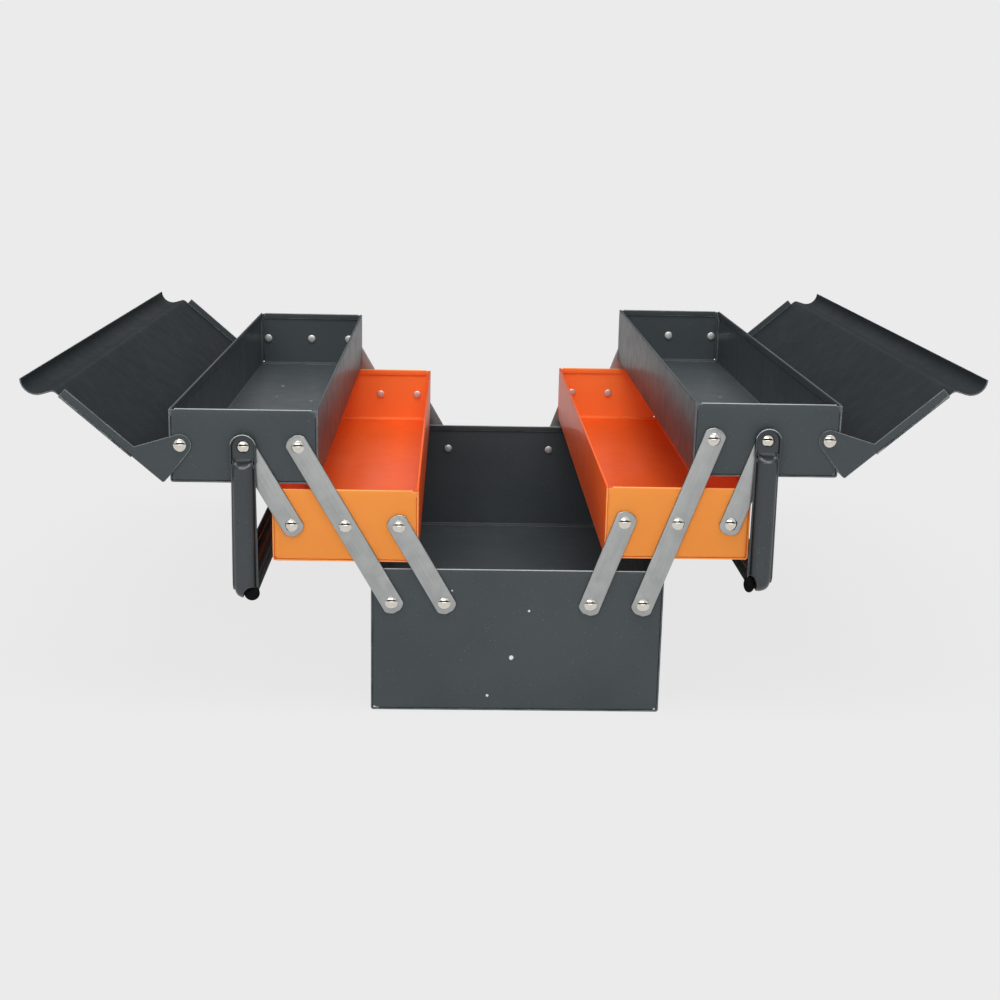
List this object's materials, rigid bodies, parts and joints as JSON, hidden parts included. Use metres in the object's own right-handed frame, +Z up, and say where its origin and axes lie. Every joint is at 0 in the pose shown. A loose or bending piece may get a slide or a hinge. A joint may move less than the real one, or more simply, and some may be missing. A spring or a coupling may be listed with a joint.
{
  "type": "cantilever tool box",
  "caption": "Folding sheet-steel tool box with a base tray, stepped side trays on cantilever arms, hinged lids and swing-over bail handles.",
  "frame": {"origin": "centre of the base tray's underside", "axes": "+X from the left trays to the right trays, +Y along the trays from the front end to the rear end, +Z up"},
  "size_m": [0.6384, 0.5156, 0.2379],
  "materials": {
    "painted_grey": "satin powder coat",
    "painted_orange": "satin powder coat",
    "zinc_plated_arms": "zinc plated, fine rolling lines",
    "nickel_rivets": "bright nickel"
  },
  "bodies": {
    "base": {"base_shell": "painted_grey", "base_front_end": "painted_grey", "base_rear_end": "painted_grey", "base_rivets": "nickel_rivets"},
    "left_long_arms": {"left_front_long_arm": "zinc_plated_arms", "left_rear_long_arm": "zinc_plated_arms"},
    "left_lower_arms": {"left_front_lower_arm": "zinc_plated_arms", "left_rear_lower_arm": "zinc_plated_arms"},
    "left_middle_tray": {"left_middle_shell": "painted_orange", "left_middle_front_end": "painted_orange", "left_middle_rear_end": "painted_orange", "left_middle_rivets": "nickel_rivets"},
    "left_upper_arms": {"left_front_upper_arm": "zinc_plated_arms", "left_rear_upper_arm": "zinc_plated_arms"},
    "left_upper_tray": {"left_upper_shell": "painted_grey", "left_upper_front_end": "painted_grey", "left_upper_rear_end": "painted_grey", "left_upper_arm_rivets": "nickel_rivets", "left_handle_rivets": "nickel_rivets", "left_lid_rivets": "nickel_rivets"},
    "left_lid": {"left_lid": "painted_grey"},
    "left_handle": {"left_handle": "painted_grey"},
    "right_long_arms": {"right_front_long_arm": "zinc_plated_arms", "right_rear_long_arm": "zinc_plated_arms"},
    "right_lower_arms": {"right_front_lower_arm": "zinc_plated_arms", "right_rear_lower_arm": "zinc_plated_arms"},
    "right_middle_tray": {"right_middle_shell": "painted_orange", "right_middle_front_end": "painted_orange", "right_middle_rear_end": "painted_orange", "right_middle_rivets": "nickel_rivets"},
    "right_upper_arms": {"right_front_upper_arm": "zinc_plated_arms", "right_rear_upper_arm": "zinc_plated_arms"},
    "right_upper_tray": {"right_upper_shell": "painted_grey", "right_upper_front_end": "painted_grey", "right_upper_rear_end": "painted_grey", "right_upper_arm_rivets": "nickel_rivets", "right_handle_rivets": "nickel_rivets", "right_lid_rivets": "nickel_rivets"},
    "right_lid": {"right_lid": "painted_grey"},
    "right_handle": {"right_handle": "painted_grey"}
  },
  "joints": [
    {"name": "left_arm_fold", "type": "hinge", "parent": "base", "child": "left_long_arms", "pos_m": [-0.086, 0, 0.07837], "axis": [0, 1, 0], "range_deg": [0, 65.83]},
    {"name": "left_lower_arm_fold", "type": "hinge", "parent": "base", "child": "left_lower_arms", "pos_m": [-0.05, 0, 0.07837], "axis": [0, 1, 0], "range_deg": [0, 65.83]},
    {"name": "left_middle_tray_level", "type": "hinge", "parent": "left_long_arms", "child": "left_middle_tray", "pos_m": [-0.11709, 0, 0.13201], "axis": [0, 1, 0], "range_deg": [-65.83, 0]},
    {"name": "left_upper_arm_fold", "type": "hinge", "parent": "left_middle_tray", "child": "left_upper_arms", "pos_m": [-0.15309, 0, 0.13201], "axis": [0, 1, 0], "range_deg": [0, 65.83]},
    {"name": "left_upper_tray_level", "type": "hinge", "parent": "left_long_arms", "child": "left_upper_tray", "pos_m": [-0.14818, 0, 0.18564], "axis": [0, 1, 0], "range_deg": [-65.83, 0]},
    {"name": "left_lid_turn", "type": "hinge", "parent": "left_upper_tray", "child": "left_lid", "pos_m": [-0.22618, 0, 0.18564], "axis": [0, 1, 0], "range_deg": [0, 131]},
    {"name": "left_handle_swing", "type": "hinge", "parent": "left_upper_tray", "child": "left_handle", "pos_m": [-0.18418, 0, 0.18564], "axis": [0, 1, 0], "range_deg": [0, 204]},
    {"name": "right_arm_fold", "type": "hinge", "parent": "base", "child": "right_long_arms", "pos_m": [0.086, 0, 0.07837], "axis": [0, -1, 0], "range_deg": [0, 55.73]},
    {"name": "right_lower_arm_fold", "type": "hinge", "parent": "base", "child": "right_lower_arms", "pos_m": [0.05, 0, 0.07837], "axis": [0, -1, 0], "range_deg": [0, 55.73]},
    {"name": "right_middle_tray_level", "type": "hinge", "parent": "right_long_arms", "child": "right_middle_tray", "pos_m": [0.1072, 0, 0.13663], "axis": [0, -1, 0], "range_deg": [-55.73, 0]},
    {"name": "right_upper_arm_fold", "type": "hinge", "parent": "right_middle_tray", "child": "right_upper_arms", "pos_m": [0.1432, 0, 0.13663], "axis": [0, -1, 0], "range_deg": [0, 55.73]},
    {"name": "right_upper_tray_level", "type": "hinge", "parent": "right_long_arms", "child": "right_upper_tray", "pos_m": [0.12841, 0, 0.19489], "axis": [0, -1, 0], "range_deg": [-55.73, 0]},
    {"name": "right_lid_turn", "type": "hinge", "parent": "right_upper_tray", "child": "right_lid", "pos_m": [0.20641, 0, 0.19489], "axis": [0, -1, 0], "range_deg": [0, 139]},
    {"name": "right_handle_swing", "type": "hinge", "parent": "right_upper_tray", "child": "right_handle", "pos_m": [0.16441, 0, 0.19489], "axis": [0, -1, 0], "range_deg": [0, 204]}
  ],
  "couplings": [
    {"joint": "left_lower_arm_fold", "follows": "left_arm_fold", "ratio": 1},
    {"joint": "left_middle_tray_level", "follows": "left_arm_fold", "ratio": -1},
    {"joint": "left_upper_arm_fold", "follows": "left_arm_fold", "ratio": 1},
    {"joint": "left_upper_tray_level", "follows": "left_arm_fold", "ratio": -1},
    {"joint": "left_lid_turn", "follows": "left_arm_fold", "ratio": 1.9901},
    {"joint": "left_handle_swing", "follows": "left_arm_fold", "ratio": 3.099},
    {"joint": "right_lower_arm_fold", "follows": "right_arm_fold", "ratio": 1},
    {"joint": "right_middle_tray_level", "follows": "right_arm_fold", "ratio": -1},
    {"joint": "right_upper_arm_fold", "follows": "right_arm_fold", "ratio": 1},
    {"joint": "right_upper_tray_level", "follows": "right_arm_fold", "ratio": -1},
    {"joint": "right_lid_turn", "follows": "right_arm_fold", "ratio": 2.4943},
    {"joint": "right_handle_swing", "follows": "right_arm_fold", "ratio": 3.6607}
  ]
}
